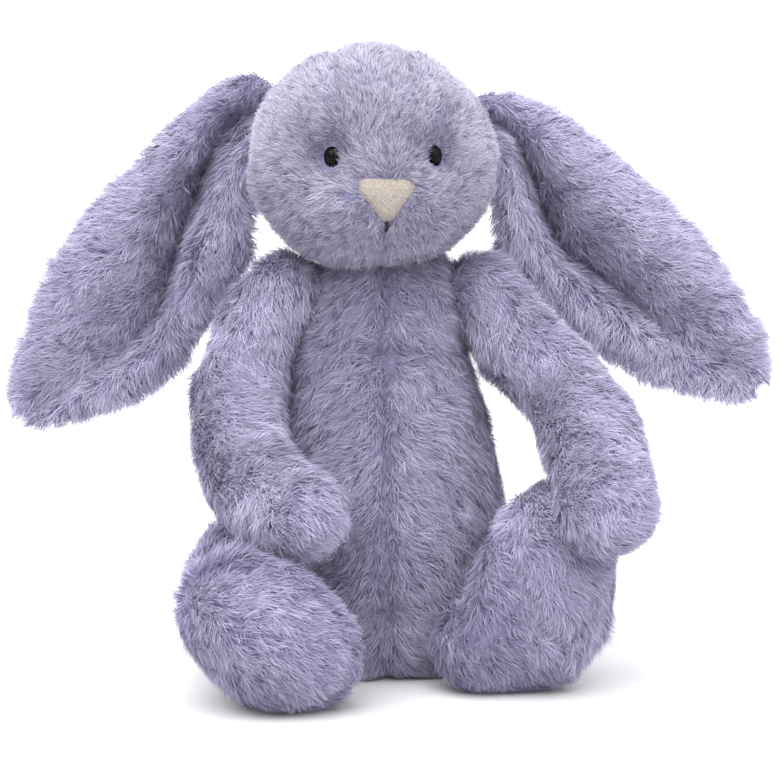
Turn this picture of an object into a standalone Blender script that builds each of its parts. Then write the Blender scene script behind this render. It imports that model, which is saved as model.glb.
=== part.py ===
"""Stuffed bunny rabbit: a seated, long-eared plush toy made of cut and sewn panels.

Every sewn panel, filling, eye, washer and sewing thread is an object of its own. The toy faces -Y,
+X is on the right of someone facing it, Z is up and the seat rests on Z = 0. Lengths are metres.
"""

import math

import bmesh
import bpy
from mathutils import Matrix, Vector

MM = 0.001

# ---------------------------------------------------------------- driving dimensions
CLOTH = 1.5 * MM  # thickness of the plush backing
FILL_GAP = 0.35 * MM  # between a cloth and the filling behind it
LIMB_FILL_GAP = 0.6 * MM  # the same inside the bent limbs
SEAM_GAP = 0.32 * MM  # between two cloths that are sewn edge to edge
THREAD_RADIUS = 0.55 * MM
THREAD_CLEARANCE = 0.8 * MM  # between a limb's root and its ring of thread
ARM_RING_RADIUS = 5.5 * MM
LEG_RING_RADIUS = 6.5 * MM
TAIL_RING_RADIUS = 6.0 * MM
TAIL_RING_GAP = 1.2 * MM  # between the tail's opening and its ring of thread
NECK_RING_RADIUS = 15.0 * MM
NECK_RING_HEIGHT = 143.6 * MM
NECK_RING_AROUND = 20
NEAR_PLANE = 0.02 * MM  # corners this near a cut are taken to lie on it

# torso: height, half width, half depth
TORSO_SECTIONS = (
    (0.0, 31.0, 28.0),
    (3.0, 34.5, 31.5),
    (12.0, 38.0, 35.0),
    (28.0, 40.5, 38.0),
    (45.0, 41.0, 38.5),
    (66.0, 39.5, 37.0),
    (84.0, 36.5, 34.0),
    (100.0, 32.5, 30.5),
    (116.0, 27.5, 26.5),
    (130.0, 23.0, 22.5),
    (141.0, 16.0, 16.0),
)
TORSO_TOP = 147.4 * MM
TORSO_CENTRE = Vector((-1.5, 2.0, 0.0)) * MM
TORSO_AROUND = 18
BASE_RADII = Vector((27.0, 24.5, 0.0)) * MM
BASE_AROUND = 24
SEAT_REACH = 11.0 * MM  # how far the column that cuts the seat panel runs either way
PELLET_TOP = 27.0 * MM

# head
HEAD_CENTRE = Vector((-6.0, -2.0, 187.0)) * MM
HEAD_RADII = Vector((43.0, 39.5, 38.5)) * MM
HEAD_TURN = math.radians(5.5)
HEAD_AROUND = 20
HEAD_RINGS = 14
MUZZLE_REACH = 4.0 * MM
MUZZLE_DIRECTION = Vector((0.0, -0.90, -0.42)).normalized()
MUZZLE_SPREAD = 0.42
GUSSET_HALF_WIDTH = 13.0 * MM
GUSSET_LOW = -12.2 * MM
NECK_PIVOT = Vector((-5.0, 0.0, 150.0)) * MM
PAST_HEAD = 80.0 * MM  # a length that reaches beyond the head from its middle

# eyes and nose, in the head's own directions
EYE_AZIMUTH = math.radians(24.5)
EYE_HEIGHT = 0.055  # rise of the line from the head's middle to an eye
EYE_RADIUS = 4.0 * MM
EYE_DOME = 3.0 * MM
EYE_PROUD = 0.35 * MM
EYE_RIM = 0.4 * MM  # upright edge under the dome
EYE_AROUND = 12
SHANK_RADIUS = 1.4 * MM
SHANK_LENGTH = 7.0 * MM
HOLE_RADIUS = 1.8 * MM
WASHER_RADIUS = 5.5 * MM
WASHER_THICK = 1.2 * MM
WASHER_DEPTH = 4.0 * MM
WASHER_AROUND = 12
POCKET_MARGIN = 2.0 * MM  # how far the filling's pocket starts outside it
NOSE_HEIGHT = -12.5 * MM
NOSE_HALF_WIDTH = 10.0 * MM
NOSE_TALL = 14.5 * MM
NOSE_CORNER = 2.6 * MM
NOSE_THICK = 1.3 * MM
STITCH_TOP = -20.6 * MM
STITCH_LENGTH = 3.2 * MM
STITCH_PROUD = 0.45 * MM

# ears: root, direction, length, sections (share of length, upper and lower half widths, fold depth)
EAR_LAYER = 1.5 * MM
EAR_GAP = 0.7 * MM  # between the two cloths of an ear
EAR_SPREAD = 0.24  # share of an ear over which its upright root turns square to it
EAR_SEAM = 22.0 * MM  # the upright line of stitches an ear swings on
EAR_ALONG = 12  # faces from root to tip
EAR_ACROSS = 8
EAR_TIP_EASE = 1.15  # above 1, the rows of faces gather towards the tip
EAR_SIDES = {
    "left": {
        "hinge": Vector((-48.2, 15.0, 190.0)),
        "root": Vector((-51.5, 15.0, 190.0)),
        "tip": Vector((-135.0, 24.0, 94.0)),
        "sections": (
            (0.00, 20.5, 13.0, 7.0),
            (0.10, 25.0, 16.0, 10.0),
            (0.22, 28.0, 19.0, 12.0),
            (0.40, 31.0, 23.0, 12.0),
            (0.60, 28.0, 27.5, 9.0),
            (0.75, 22.0, 25.5, 7.0),
            (0.88, 14.5, 18.0, 4.5),
            (0.96, 8.5, 10.5, 2.5),
            (1.00, 4.0, 4.5, 1.5),
        ),
    },
    "right": {
        "hinge": Vector((36.3, 15.0, 190.0)),
        "root": Vector((39.6, 15.0, 190.0)),
        "tip": Vector((134.5, 24.0, 105.0)),
        "sections": (
            (0.00, 19.5, 15.0, 7.0),
            (0.10, 23.5, 19.0, 10.0),
            (0.22, 25.0, 22.0, 12.0),
            (0.40, 25.5, 26.0, 11.0),
            (0.60, 25.0, 27.0, 9.0),
            (0.75, 21.5, 25.0, 7.0),
            (0.88, 14.5, 18.0, 4.5),
            (0.96, 8.5, 10.5, 2.5),
            (1.00, 4.0, 4.5, 1.5),
        ),
    },
}

# limbs: spine points with the half widths across and along the section's reference direction
ARM_SIDES = {
    "left": {
        "reference": Vector((0.5, 0.8, -0.3)),
        "cap": 14.0,
        "spine": (
            ((-39.5, 0.0, 137.0), 12.0, 12.0),
            ((-50.5, -4.0, 122.0), 13.0, 13.0),
            ((-55.0, -12.0, 101.0), 13.5, 13.5),
            ((-52.0, -27.0, 80.5), 13.8, 13.8),
            ((-42.5, -46.0, 70.0), 14.5, 14.5),
            ((-32.0, -58.0, 66.0), 14.5, 14.5),
        ),
    },
    "right": {
        "reference": Vector((-0.5, 0.8, -0.3)),
        "cap": 14.5,
        "spine": (
            ((36.5, 0.0, 137.0), 12.0, 12.0),
            ((47.0, -7.0, 122.0), 13.0, 13.0),
            ((60.0, -17.0, 107.5), 14.0, 14.0),
            ((70.0, -30.0, 94.5), 15.5, 15.5),
            ((75.0, -47.0, 80.5), 16.5, 16.5),
            ((75.5, -63.0, 67.5), 15.0, 15.0),
        ),
    },
}
LEG_SIDES = {
    "left": {
        "reference": Vector((-0.82, 0.0, 0.57)),
        "forward": Vector((0.06, -1.0, 0.0)),
        "cap": 22.0,
        "sole": 7.0,
        "spine": (
            ((-55.3, -13.0, 38.0), 12.0, 12.0),
            ((-53.5, -28.0, 33.0), 15.0, 15.0),
            ((-49.5, -43.0, 28.5), 18.5, 18.0),
            ((-45.5, -58.0, 27.0), 25.5, 22.0),
            ((-43.0, -72.0, 26.9), 31.5, 24.5),
        ),
    },
    "right": {
        "reference": Vector((0.0, 0.0, 1.0)),
        "forward": Vector((0.85, -0.53, 0.0)),
        "cap": 17.5,
        "sole": 2.0,
        "spine": (
            ((32.5, -43.5, 16.0), 14.5, 14.5),
            ((38.5, -43.5, 25.5), 25.0, 17.5),
            ((45.5, -43.5, 33.0), 32.5, 21.0),
            ((56.0, -43.5, 35.3), 35.6, 23.0),
        ),
    },
}
LIMB_AROUND = 14
ROOT_RINGS = 3
SPINE_RINGS = 6
END_RINGS = 3

TAIL_CENTRE = Vector((-1.5, 55.2, 24.0)) * MM
TAIL_RADIUS = 16.0 * MM
TAIL_OPENING = 13.0 * MM
TAIL_AROUND = 12
TAIL_RINGS = 8


# ---------------------------------------------------------------- collections and materials
def clear_scene():
    for obj in list(bpy.data.objects):
        bpy.data.objects.remove(obj)


def make_collection(name):
    collection = bpy.data.collections.new(name)
    bpy.context.scene.collection.children.link(collection)
    return collection


def make_material(name, colour, roughness, metallic=0.0):
    material = bpy.data.materials.new(name)
    material.use_nodes = True
    shader = material.node_tree.nodes["Principled BSDF"]
    shader.inputs["Base Color"].default_value = (*colour, 1.0)
    shader.inputs["Roughness"].default_value = roughness
    shader.inputs["Metallic"].default_value = metallic
    material.diffuse_color = (*colour, 1.0)
    return material


clear_scene()
TOY = make_collection("stuffed_bunny_rabbit")

PLUSH = make_material("lavender_plush", (0.36, 0.34, 0.52), 0.95)
NOSE_VELOUR = make_material("cream_velour", (0.62, 0.53, 0.48), 0.9)
EYE_PLASTIC = make_material("black_eye_plastic", (0.012, 0.012, 0.015), 0.08)
WASHER_PLASTIC = make_material("white_washer_plastic", (0.80, 0.80, 0.78), 0.45)
STUFFING = make_material("polyester_fibre", (0.86, 0.86, 0.85), 1.0)
PELLET_CLOTH = make_material("pellet_bag_cloth", (0.74, 0.73, 0.70), 0.9)
THREAD = make_material("lavender_thread", (0.30, 0.28, 0.46), 0.7)
DARK_THREAD = make_material("dark_thread", (0.05, 0.045, 0.07), 0.6)


# ---------------------------------------------------------------- modelling tools
def add_object(name, mesh, material, smooth=True):
    """A named object in the toy's collection."""
    mesh.name = name
    mesh.materials.clear()
    mesh.materials.append(material)
    obj = bpy.data.objects.new(name, mesh)
    TOY.objects.link(obj)
    for polygon in mesh.polygons:
        polygon.use_smooth = smooth
    return obj


def mesh_from(bm, name):
    bmesh.ops.remove_doubles(bm, verts=bm.verts, dist=1e-6)
    bmesh.ops.recalc_face_normals(bm, faces=bm.faces)
    mesh = bpy.data.meshes.new(name)
    bm.to_mesh(mesh)
    bm.free()
    return mesh


def shaped_ball(place, around, rings):
    """A sphere whose unit directions are moved by place(direction)."""
    bm = bmesh.new()
    bmesh.ops.create_uvsphere(bm, u_segments=around, v_segments=rings, radius=1.0)
    for vertex in bm.verts:
        vertex.co = place(vertex.co.normalized())
    bmesh.ops.triangulate(bm, faces=bm.faces, quad_method="FIXED")
    return mesh_from(bm, "blank")


def keep_side(mesh, point, normal):
    """The closed part of a closed mesh that lies ahead of a plane."""
    bm = bmesh.new()
    bm.from_mesh(mesh)
    geometry = bm.verts[:] + bm.edges[:] + bm.faces[:]
    bmesh.ops.bisect_plane(
        bm, geom=geometry, plane_co=point, plane_no=normal, clear_inner=True, dist=NEAR_PLANE
    )
    rim = [edge for edge in bm.edges if edge.is_boundary]
    bmesh.ops.holes_fill(bm, edges=rim, sides=0)
    return mesh_from(bm, "half")


def combine(mesh, cutter, operation):
    """The exact boolean of two closed meshes."""
    body = bpy.data.objects.new("body", mesh)
    tool = bpy.data.objects.new("tool", cutter)
    bpy.context.scene.collection.objects.link(body)
    bpy.context.scene.collection.objects.link(tool)
    modifier = body.modifiers.new("cut", "BOOLEAN")
    modifier.operation = operation
    modifier.solver = "EXACT"
    modifier.object = tool
    bpy.context.view_layer.update()
    depsgraph = bpy.context.evaluated_depsgraph_get()
    result = bpy.data.meshes.new_from_object(body.evaluated_get(depsgraph))
    bpy.data.objects.remove(body)
    bpy.data.objects.remove(tool)
    return result


def carved(mesh, *cutters):
    for cutter in cutters:
        mesh = combine(mesh, cutter, "DIFFERENCE")
    return mesh


def rod(start, end, radius, around=14):
    """A closed cylinder from start to end."""
    axis = end - start
    bm = bmesh.new()
    bmesh.ops.create_cone(
        bm, cap_ends=True, segments=around, radius1=radius, radius2=radius, depth=axis.length
    )
    turn = axis.to_track_quat("Z", "Y").to_matrix().to_4x4()
    bmesh.ops.transform(
        bm, matrix=Matrix.Translation((start + end) / 2) @ turn, verts=bm.verts
    )
    return mesh_from(bm, "rod")


def box(low, high):
    bm = bmesh.new()
    bmesh.ops.create_cube(bm, size=1.0)
    for vertex in bm.verts:
        for k in range(3):
            vertex.co[k] = low[k] if vertex.co[k] < 0 else high[k]
    return mesh_from(bm, "box")


def moved(mesh, matrix):
    mesh.transform(matrix)
    return mesh


def thread_ring(name, centre, axis, major, around=14):
    """A ring of hand sewing thread around a joint."""
    bpy.ops.mesh.primitive_torus_add(
        major_segments=around,
        minor_segments=5,
        major_radius=major,
        minor_radius=THREAD_RADIUS,
    )
    ring = bpy.context.object
    mesh = ring.data.copy()
    bpy.data.objects.remove(ring)
    turn = axis.to_track_quat("Z", "Y").to_matrix().to_4x4()
    return add_object(name, moved(mesh, Matrix.Translation(centre) @ turn), THREAD)


def set_origin(objects, point):
    """Puts the origin of every object on its joint's axis."""
    for obj in objects:
        obj.data.transform(Matrix.Translation(-point))
        obj.location = point


def between(values, share):
    """A Catmull-Rom curve through tuples of numbers, at share 0 to 1 of their count."""
    last = len(values) - 1
    at = min(max(share, 0.0), 1.0) * last
    k = min(int(at), last - 1)
    t = at - k
    p0 = values[max(k - 1, 0)]
    p1 = values[k]
    p2 = values[k + 1]
    p3 = values[min(k + 2, last)]
    blend = []
    for a, b, c, d in zip(p0, p1, p2, p3):
        blend.append(
            0.5
            * (2 * b + (c - a) * t + (2 * a - 5 * b + 4 * c - d) * t**2
               + (3 * b - a - 3 * c + d) * t**3)
        )
    return blend


# ---------------------------------------------------------------- torso
def torso_place(inset):
    """Maps directions to the torso's surface, moved in by inset."""
    rows = [(z * MM, a * MM, b * MM) for z, a, b in TORSO_SECTIONS]
    low = rows[0][0]
    high = rows[-1][0]

    def place(direction):
        polar = math.acos(max(-1.0, min(1.0, -direction.z)))
        ring = round(polar / math.pi * (len(rows) + 1))
        if ring == 0:
            return Vector((TORSO_CENTRE.x, TORSO_CENTRE.y, low + inset))
        if ring == len(rows) + 1:
            return Vector((TORSO_CENTRE.x, TORSO_CENTRE.y, TORSO_TOP - inset))
        z, a, b = rows[ring - 1]
        z = low + inset + (z - low) * (high - low - 1.6 * inset) / (high - low)
        flat = Vector((direction.x, direction.y)).normalized()
        return Vector(
            (
                TORSO_CENTRE.x + flat.x * (a - inset),
                TORSO_CENTRE.y + flat.y * (b - inset),
                z,
            )
        )

    return place


def torso_blank(inset):
    return shaped_ball(torso_place(inset), TORSO_AROUND, len(TORSO_SECTIONS) + 1)


def base_column(margin):
    """The upright oval column that cuts the seat panel from the torso's cloth."""
    column = rod(Vector((0, 0, -SEAT_REACH)), Vector((0, 0, SEAT_REACH)), 1.0, BASE_AROUND)
    scale = Matrix.Diagonal((BASE_RADII.x + margin, BASE_RADII.y + margin, 1.0, 1.0))
    return moved(column, Matrix.Translation(TORSO_CENTRE) @ scale)


def make_torso():
    half_gap = SEAM_GAP / 2
    panels = (
        ("body_front_left_panel", -1, -1),
        ("body_front_right_panel", 1, -1),
        ("body_back_left_panel", -1, 1),
        ("body_back_right_panel", 1, 1),
    )
    for name, side, depth in panels:
        across = Vector((side, 0, 0))
        along = Vector((0, depth, 0))
        mesh = keep_side(torso_blank(0.0), TORSO_CENTRE + across * half_gap, across)
        mesh = keep_side(mesh, TORSO_CENTRE + along * half_gap, along)
        mesh = carved(mesh, torso_blank(CLOTH), base_column(SEAM_GAP))
        add_object(name, mesh, PLUSH)

    base = keep_side(base_column(0.0), Vector((0, 0, 0)), Vector((0, 0, 1)))
    base = keep_side(base, Vector((0, 0, CLOTH)), Vector((0, 0, -1)))
    add_object("body_base_panel", base, PLUSH, smooth=False)

    core = torso_blank(CLOTH + FILL_GAP)
    pellets = keep_side(core, Vector((0, 0, PELLET_TOP)), Vector((0, 0, -1)))
    add_object("pellet_bag", pellets, PELLET_CLOTH)
    stuffing = keep_side(core, Vector((0, 0, PELLET_TOP + FILL_GAP)), Vector((0, 0, 1)))
    add_object("body_stuffing", stuffing, STUFFING)


# ---------------------------------------------------------------- head
def head_frame():
    return Matrix.Translation(HEAD_CENTRE) @ Matrix.Rotation(HEAD_TURN, 4, "Z")


def head_point(direction, inset):
    """A point of the head's surface in the head's own frame."""
    scaled = Vector(direction[k] * (HEAD_RADII[k] - inset) for k in range(3))
    near = 1.0 - (direction.normalized() - MUZZLE_DIRECTION).length / (2 * MUZZLE_SPREAD)
    near = max(0.0, near)
    near = near * near * (3 - 2 * near)
    return scaled + MUZZLE_DIRECTION * MUZZLE_REACH * near


def head_blank(inset):
    mesh = shaped_ball(lambda d: head_point(d, inset), HEAD_AROUND, HEAD_RINGS)
    return mesh


def surface_y(x, z, inset=0.0):
    """How far forward the head's surface is above a point of the XZ plane."""
    low = -0.8
    guess = Vector((x / HEAD_RADII.x, low, z / HEAD_RADII.z))
    for _ in range(30):
        guess.y = -math.sqrt(max(0.0, 1 - guess.x**2 - guess.z**2))
        found = head_point(guess, inset)
        guess.x += (x - found.x) / HEAD_RADII.x
        guess.z += (z - found.z) / HEAD_RADII.z
    return head_point(guess, inset).y


def gusset_block(margin):
    wide = GUSSET_HALF_WIDTH + margin
    return box((-wide, -PAST_HEAD, GUSSET_LOW - margin), (wide, PAST_HEAD, PAST_HEAD))


def eye_line(side):
    """The place of an eye on the head's surface, and the direction it looks in."""
    angle = side * EYE_AZIMUTH
    direction = Vector((math.sin(angle), -math.cos(angle), EYE_HEIGHT))
    return head_point(direction, 0.0), direction.normalized()


def washer_seat(side, depth, length, radius):
    place, out = eye_line(side)
    return rod(place - out * (depth + length), place - out * depth, radius, WASHER_AROUND)


def make_head():
    frame = head_frame()
    half_gap = SEAM_GAP / 2
    pieces = []

    sides = (("head_left_panel", -1), ("head_right_panel", 1))
    for name, side in sides:
        across = Vector((side, 0, 0))
        mesh = keep_side(head_blank(0.0), across * half_gap, across)
        hole = washer_seat(side, -SHANK_LENGTH, 2 * SHANK_LENGTH, HOLE_RADIUS)
        mesh = carved(mesh, head_blank(CLOTH), gusset_block(SEAM_GAP), hole)
        pieces.append(add_object(name, moved(mesh, frame), PLUSH))

    gusset = combine(head_blank(0.0), gusset_block(0.0), "INTERSECT")
    gusset = carved(gusset, head_blank(CLOTH))
    pieces.append(add_object("head_gusset", moved(gusset, frame), PLUSH))

    pocket_from = CLOTH - POCKET_MARGIN
    pocket_length = WASHER_DEPTH + WASHER_THICK + SHANK_LENGTH - pocket_from
    filling = carved(
        head_blank(CLOTH + FILL_GAP),
        washer_seat(-1, pocket_from, pocket_length, WASHER_RADIUS + FILL_GAP),
        washer_seat(1, pocket_from, pocket_length, WASHER_RADIUS + FILL_GAP),
    )
    pieces.append(add_object("head_stuffing", moved(filling, frame), STUFFING))
    pieces += make_nose(frame)
    for label, side in (("left", -1), ("right", 1)):
        pieces += make_eye(frame, label, side)
    set_origin(pieces, NECK_PIVOT)


def nose_outline():
    """The corners of the nose's rounded triangle, as x and z."""
    top = NOSE_HEIGHT + NOSE_TALL / 2
    bottom = NOSE_HEIGHT - NOSE_TALL / 2
    side = NOSE_HALF_WIDTH
    corners = (
        (Vector((side - NOSE_CORNER, top - NOSE_CORNER)), -35, 90),
        (Vector((-side + NOSE_CORNER, top - NOSE_CORNER)), 90, 215),
        (Vector((0, bottom + NOSE_CORNER)), 215, 325),
    )
    outline = []
    steps = 4
    for centre, start, stop in corners:
        for k in range(steps + 1):
            angle = math.radians(start + (stop - start) * k / steps)
            outline.append(centre + Vector((math.cos(angle), math.sin(angle))) * NOSE_CORNER)
    return outline


def make_nose(frame):
    bm = bmesh.new()
    ring = [bm.verts.new((p.x, -PAST_HEAD, p.y)) for p in nose_outline()]
    face = bm.faces.new(ring)
    grown = bmesh.ops.extrude_face_region(bm, geom=[face])
    lifted = [item for item in grown["geom"] if isinstance(item, bmesh.types.BMVert)]
    bmesh.ops.translate(bm, verts=lifted, vec=(0, PAST_HEAD, 0))
    prism = mesh_from(bm, "nose_prism")
    patch = combine(head_blank(-FILL_GAP - NOSE_THICK), prism, "INTERSECT")
    patch = carved(patch, head_blank(-FILL_GAP))
    nose = add_object("nose_patch", moved(patch, frame), NOSE_VELOUR)

    stitch = bpy.data.curves.new("mouth_stitch", "CURVE")
    stitch.dimensions = "3D"
    stitch.bevel_depth = THREAD_RADIUS
    stitch.bevel_resolution = 1
    stitch.use_fill_caps = True
    spline = stitch.splines.new("POLY")
    steps = 4
    spline.points.add(steps)
    for k in range(steps + 1):
        z = STITCH_TOP - STITCH_LENGTH * k / steps
        y = surface_y(0.0, z) - THREAD_RADIUS - STITCH_PROUD
        spline.points[k].co = (0.0, y, z, 1.0)
    carrier = bpy.data.objects.new("stitch", stitch)
    bpy.context.scene.collection.objects.link(carrier)
    bpy.context.view_layer.update()
    depsgraph = bpy.context.evaluated_depsgraph_get()
    mesh = bpy.data.meshes.new_from_object(carrier.evaluated_get(depsgraph))
    bpy.data.objects.remove(carrier)
    bm = bmesh.new()
    bm.from_mesh(mesh)
    mouth = add_object("mouth_stitch", moved(mesh_from(bm, "stitch"), frame), DARK_THREAD)
    return [nose, mouth]


def make_eye(frame, label, side):
    """A domed safety eye on its shank, and the washer that locks it inside the head."""
    place, out = eye_line(side)
    turn = Matrix.Translation(place) @ out.to_track_quat("Z", "Y").to_matrix().to_4x4()
    bm = bmesh.new()
    profile = [
        (0.0, -SHANK_LENGTH),
        (SHANK_RADIUS, -SHANK_LENGTH),
        (SHANK_RADIUS, EYE_PROUD),
        (EYE_RADIUS * 0.94, EYE_PROUD),
    ]
    steps = 4
    for k in range(steps + 1):
        angle = math.pi / 2 * k / steps
        height = EYE_PROUD + EYE_RIM + EYE_DOME * math.sin(angle)
        profile.append((EYE_RADIUS * math.cos(angle), height))
    verts = [bm.verts.new((max(r, 0.0), 0.0, z)) for r, z in profile]
    edges = [bm.edges.new(pair) for pair in zip(verts, verts[1:])]
    bmesh.ops.spin(
        bm,
        geom=verts + edges,
        axis=(0, 0, 1),
        cent=(0, 0, 0),
        angle=2 * math.pi,
        steps=EYE_AROUND,
    )
    bmesh.ops.remove_doubles(bm, verts=bm.verts, dist=1e-5)
    eye_mesh = moved(mesh_from(bm, "eye"), frame @ turn)
    eye = add_object(f"eye_{label}", eye_mesh, EYE_PLASTIC)

    depth = WASHER_DEPTH
    disc = washer_seat(side, depth, WASHER_THICK, WASHER_RADIUS)
    disc = carved(disc, washer_seat(side, depth - 1 * MM, WASHER_THICK + 2 * MM, HOLE_RADIUS))
    washer_mesh = moved(disc, frame)
    washer = add_object(f"eye_washer_{label}", washer_mesh, WASHER_PLASTIC, smooth=False)
    return [eye, washer]


# ---------------------------------------------------------------- ears
def ear_grid(spec, offset):
    """The folded leaf of one ear, moved off its middle surface by offset."""
    root = spec["root"] * MM
    tip = spec["tip"] * MM
    along = tip - root
    direction = along.normalized()
    outward = math.copysign(1.0, direction.x)
    upper = Vector((outward * -direction.z, 0.0, abs(direction.x))).normalized()
    back = Vector((0, 1, 0))
    rows = spec["sections"]

    def section(share):
        for a, b in zip(rows, rows[1:]):
            if share <= b[0]:
                t = (share - a[0]) / (b[0] - a[0])
                t = t * t * (3 - 2 * t) * 0.35 + t * 0.65
                return [x + (y - x) * t for x, y in zip(a, b)]
        return list(rows[-1])

    def point(u, v):
        _, high, low, fold = section(u)
        reach = (high if v > 0 else low) * MM * v
        depth = fold * MM * (0.5 + 0.5 * math.cos(math.pi * min(1.0, abs(v))))
        rise = Vector((0, 0, 1)).lerp(upper, min(1.0, u / EAR_SPREAD)).normalized()
        return root + along * u + rise * reach + back * depth

    bm = bmesh.new()
    bmesh.ops.create_grid(bm, x_segments=EAR_ALONG, y_segments=EAR_ACROSS, size=1.0)
    small = 1e-3
    for vertex in bm.verts:
        u = (vertex.co.x + 1) / 2
        u = 1 - (1 - u) ** EAR_TIP_EASE
        v = vertex.co.y
        here = point(u, v)
        du = point(min(u + small, 1.0), v) - point(max(u - small, 0.0), v)
        dv = point(u, min(v + small, 1.0)) - point(u, max(v - small, -1.0))
        normal = du.cross(dv).normalized()
        if normal.y > 0:
            normal.negate()
        vertex.co = here + normal * offset
    bmesh.ops.recalc_face_normals(bm, faces=bm.faces)
    mesh = bpy.data.meshes.new("ear")
    bm.to_mesh(mesh)
    bm.free()
    return mesh


def make_ear(label):
    spec = EAR_SIDES[label]
    pieces = []
    reach = EAR_LAYER / 2 + EAR_GAP / 2
    for name, offset in (("front", reach), ("back", -reach)):
        obj = add_object(f"ear_{label}_{name}_panel", ear_grid(spec, offset), PLUSH)
        solidify = obj.modifiers.new("cloth", "SOLIDIFY")
        solidify.thickness = EAR_LAYER
        solidify.offset = 0.0
        pieces.append(obj)
    hinge = spec["hinge"] * MM
    reach = Vector((0, 0, EAR_SEAM / 2))
    seam = rod(hinge - reach, hinge + reach, THREAD_RADIUS, 8)
    pieces.append(add_object(f"ear_thread_{label}", seam, THREAD))
    set_origin(pieces, hinge)


# ---------------------------------------------------------------- limbs
def limb_place(spec):
    """Maps directions to a limb's surface: a ball root, a bent spine and a rounded end."""
    spine = [(*p, a, b) for p, a, b in spec["spine"]]
    cap = spec["cap"] * MM
    rings = ROOT_RINGS + SPINE_RINGS + END_RINGS

    def at(share):
        x, y, z, a, b = between(spine, share)
        ahead = Vector(between(spine, min(share + 0.02, 1.0))[:3])
        behind = Vector(between(spine, max(share - 0.02, 0.0))[:3])
        tangent = spec.get("forward", ahead - behind).normalized()
        first = spec["reference"] - tangent * spec["reference"].dot(tangent)
        first.normalize()
        second = tangent.cross(first)
        return Vector((x, y, z)) * MM, tangent, first, second, a * MM, b * MM

    def place(direction):
        polar = math.acos(max(-1.0, min(1.0, -direction.z)))
        ring = round(polar / math.pi * rings)
        flat = Vector((direction.x, direction.y))
        flat = flat.normalized() if flat.length > 1e-6 else Vector((0.0, 0.0))
        if ring <= ROOT_RINGS:
            centre, tangent, first, second, a, b = at(0.0)
            angle = math.pi / 2 * ring / ROOT_RINGS
            radius = a * math.sin(angle)
            centre = centre - tangent * a * math.cos(angle)
            return centre + (first * flat.x + second * flat.y) * radius
        if ring >= ROOT_RINGS + SPINE_RINGS:
            centre, tangent, first, second, a, b = at(1.0)
            angle = math.pi / 2 * (rings - ring) / END_RINGS
            centre = centre + tangent * cap * math.cos(angle)
            ring_a = a * math.sin(angle)
            ring_b = b * math.sin(angle)
            return centre + first * flat.x * ring_a + second * flat.y * ring_b
        centre, tangent, first, second, a, b = at((ring - ROOT_RINGS) / SPINE_RINGS)
        return centre + first * flat.x * a + second * flat.y * b

    return place


def limb_blank(spec, inset):
    rings = ROOT_RINGS + SPINE_RINGS + END_RINGS
    mesh = shaped_ball(limb_place(spec), LIMB_AROUND, rings)
    normals = [Vector(normal.vector) for normal in mesh.vertex_normals]
    for vertex, normal in zip(mesh.vertices, normals):
        vertex.co -= normal * inset
    return mesh


def limb_seam(spec):
    """A point and the outward normal of the plane that holds a limb's two long seams."""
    points = [Vector(p) * MM for p, _, _ in spec["spine"]]
    start = points[0]
    middle = points[len(points) // 2]
    end = points[-1]
    normal = (middle - start).cross(end - start).normalized()
    if normal.x * start.x < 0:
        normal.negate()
    return (start + middle + end) / 3, normal


def make_arm(label):
    spec = ARM_SIDES[label]
    point, outward = limb_seam(spec)
    pieces = []
    for name, normal in (("outer", outward), ("inner", -outward)):
        mesh = keep_side(limb_blank(spec, 0.0), point + normal * SEAM_GAP / 2, normal)
        mesh = carved(mesh, limb_blank(spec, CLOTH))
        pieces.append(add_object(f"arm_{label}_{name}_panel", mesh, PLUSH))
    core = limb_blank(spec, CLOTH + LIMB_FILL_GAP)
    pieces.append(add_object(f"arm_{label}_stuffing", core, STUFFING))
    root = Vector(spec["spine"][0][0]) * MM
    set_origin(pieces, root)
    radius = spec["spine"][0][1] * MM
    inward = torso_side(root)
    centre = root + inward * (radius + THREAD_CLEARANCE)
    thread_ring(f"arm_thread_{label}", centre, inward, ARM_RING_RADIUS)


def torso_side(point):
    """The level direction from a point to the torso's middle."""
    inward = TORSO_CENTRE - point
    inward.z = 0.0
    return inward.normalized()


def make_leg(label):
    spec = LEG_SIDES[label]
    spine = spec["spine"]
    foot = Vector(spine[-1][0]) * MM
    forward = spec["forward"].normalized()
    sole_at = foot + forward * spec["sole"] * MM
    start = Vector(spine[0][0]) * MM
    side = forward.cross(spec["reference"]).normalized()
    if side.x * start.x < 0:
        side.negate()
    pieces = []
    for name, normal in (("outer", side), ("inner", -side)):
        mesh = keep_side(limb_blank(spec, 0.0), foot + normal * SEAM_GAP / 2, normal)
        mesh = keep_side(mesh, sole_at - forward * SEAM_GAP / 2, -forward)
        mesh = carved(mesh, limb_blank(spec, CLOTH))
        pieces.append(add_object(f"leg_{label}_{name}_panel", mesh, PLUSH))
    sole = keep_side(limb_blank(spec, 0.0), sole_at + forward * SEAM_GAP / 2, forward)
    sole = carved(sole, limb_blank(spec, CLOTH))
    pieces.append(add_object(f"foot_{label}_sole_panel", sole, PLUSH))
    core = limb_blank(spec, CLOTH + LIMB_FILL_GAP)
    pieces.append(add_object(f"leg_{label}_stuffing", core, STUFFING))
    set_origin(pieces, start)
    radius = spine[0][1] * MM
    inward = torso_side(start)
    centre = start + inward * (radius + THREAD_CLEARANCE)
    thread_ring(f"leg_thread_{label}", centre, inward, LEG_RING_RADIUS)


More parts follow.
